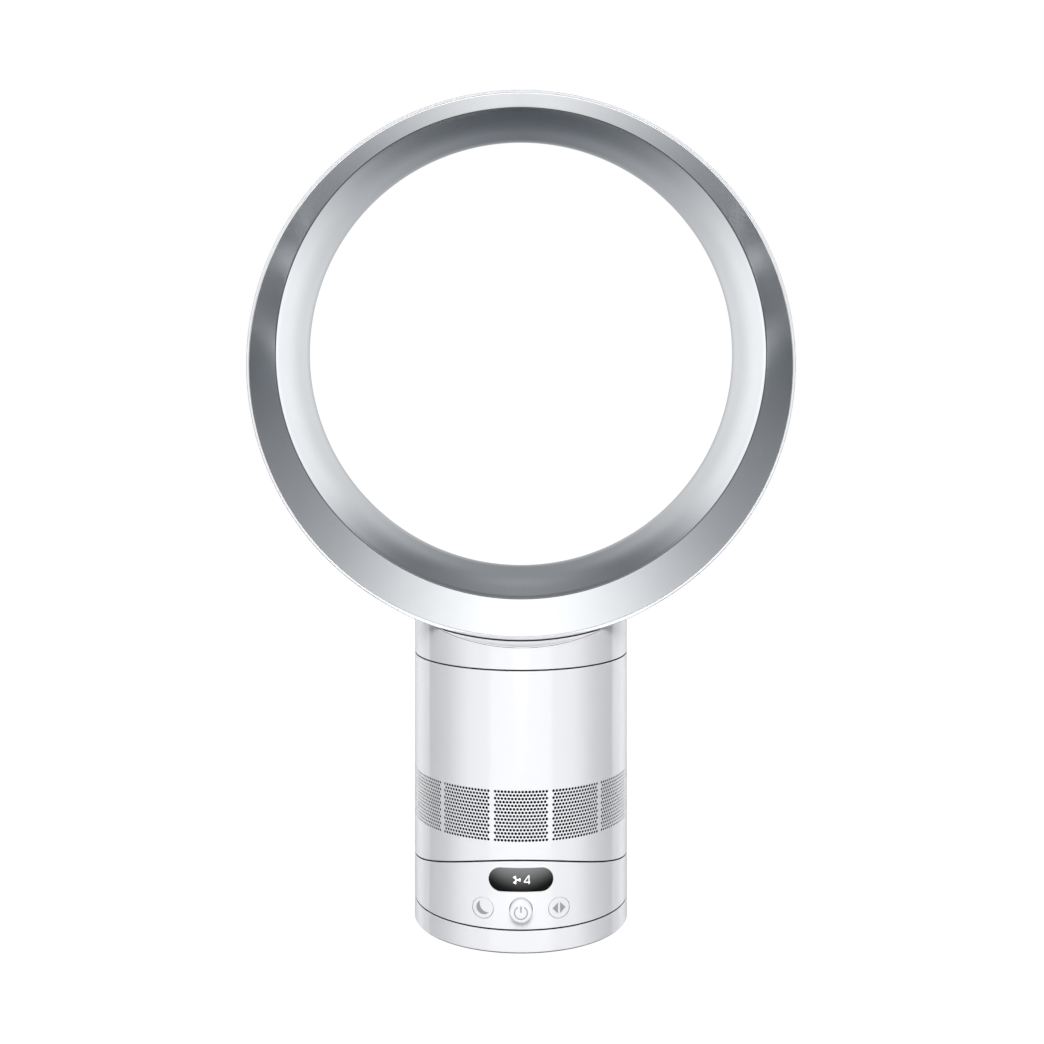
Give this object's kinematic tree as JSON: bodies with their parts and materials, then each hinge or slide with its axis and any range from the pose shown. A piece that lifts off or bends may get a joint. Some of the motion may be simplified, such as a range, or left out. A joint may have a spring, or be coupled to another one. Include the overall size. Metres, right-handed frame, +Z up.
{
  "type": "bladeless fan",
  "caption": "Desk fan with a round perforated base, a hidden impeller and an upright hollow loop that blows air from a slot round its rear edge; swivels and tilts.",
  "frame": {"origin": "centre of the round base, on the table", "axes": "+Z up, -Y towards the front with the display and buttons, +X to the right seen from the front"},
  "size_m": [0.3579, 0.1487, 0.553],
  "materials": {
    "casing_white": "gloss",
    "button_white": "gloss",
    "satin_silver": "satin",
    "smoked_lens": "gloss",
    "black_plastic": "matte",
    "duct_plastic": "satin",
    "gear_polymer": "satin",
    "slide_polymer": "satin",
    "black_rubber": "matte",
    "plain_steel": "satin",
    "magnet": "satin",
    "circuit_board": "satin",
    "foam": "matte"
  },
  "bodies": {
    "foot": {"foot_shell": "casing_white", "foot_plate": "plain_steel", "foot_pad": "black_rubber", "foot_screws": "plain_steel", "power_jack": "black_plastic", "glide_ring": "slide_polymer", "swivel_gear": "gear_polymer", "gear_screw": "plain_steel"},
    "control_body": {"control_casing": "casing_white", "control_floor": "black_plastic", "floor_screws": "plain_steel", "swivel_bush": "slide_polymer", "swivel_motor": "plain_steel", "motor_screws": "plain_steel", "tilt_cradle": "black_plastic", "cradle_screws": "plain_steel", "display_lens": "smoked_lens", "display_module": "black_plastic", "control_board": "circuit_board", "tact_switches": "black_plastic"},
    "pinion": {"drive_pinion": "gear_polymer"},
    "power_key": {"power_button": "button_white"},
    "timer_key": {"timer_button": "button_white"},
    "swivel_key": {"swivel_button": "button_white"},
    "upper_body": {"main_casing": "casing_white", "tilt_shoe": "black_plastic", "shoe_screws": "plain_steel", "rail_keepers": "plain_steel", "keeper_screws": "plain_steel", "silencer_foam": "foam", "driver_board": "circuit_board", "impeller_shroud": "duct_plastic", "motor_housing": "duct_plastic", "motor_stator": "plain_steel", "motor_cap": "duct_plastic", "motor_bearings": "plain_steel", "tail_cone": "duct_plastic", "mount_grommets": "black_rubber", "mount_screws": "plain_steel", "duct_seal": "black_rubber", "loop_socket": "black_plastic"},
    "rotor": {"impeller": "duct_plastic", "rotor_shaft": "plain_steel", "rotor_magnet": "magnet"},
    "loop": {"loop_collar": "casing_white", "collar_screws": "plain_steel", "loop_shell": "casing_white", "front_bezel": "satin_silver", "inner_duct": "satin_silver"}
  },
  "joints": [
    {"name": "swivel", "type": "hinge", "parent": "foot", "child": "control_body", "pos_m": [0, 0, 0.015], "axis": [0, 0, 1], "range_deg": [-45, 45]},
    {"name": "pinion_spin", "type": "hinge", "parent": "control_body", "child": "pinion", "pos_m": [0, 0.028, 0.0211], "axis": [0, 0, 1], "range_deg": [-113, 113]},
    {"name": "tilt", "type": "hinge", "parent": "control_body", "child": "upper_body", "pos_m": [0, 0, 0.225], "axis": [1, 0, 0], "range_deg": [-10, 10]},
    {"name": "power_press", "type": "slide", "parent": "control_body", "child": "power_key", "axis": [0, 1, 0], "range_m": [0, 0.0007], "stiffness_N_per_m": 1500, "springref_m": -0.0005},
    {"name": "timer_press", "type": "slide", "parent": "control_body", "child": "timer_key", "axis": [0, 1, 0], "range_m": [0, 0.0007], "stiffness_N_per_m": 1500, "springref_m": -0.0005},
    {"name": "swivel_press", "type": "slide", "parent": "control_body", "child": "swivel_key", "axis": [0, 1, 0], "range_m": [0, 0.0007], "stiffness_N_per_m": 1500, "springref_m": -0.0005},
    {"name": "impeller_spin", "type": "hinge", "parent": "upper_body", "child": "rotor", "pos_m": [0, 0, 0.1], "axis": [0, 0, 1], "continuous": true},
    {"name": "loop_twist", "type": "hinge", "parent": "upper_body", "child": "loop", "pos_m": [0, 0, 0.18], "axis": [0, 0, 1], "range_deg": [0, 15]}
  ],
  "couplings": [
    {"joint": "pinion_spin", "follows": "swivel", "ratio": 2.5}
  ]
}
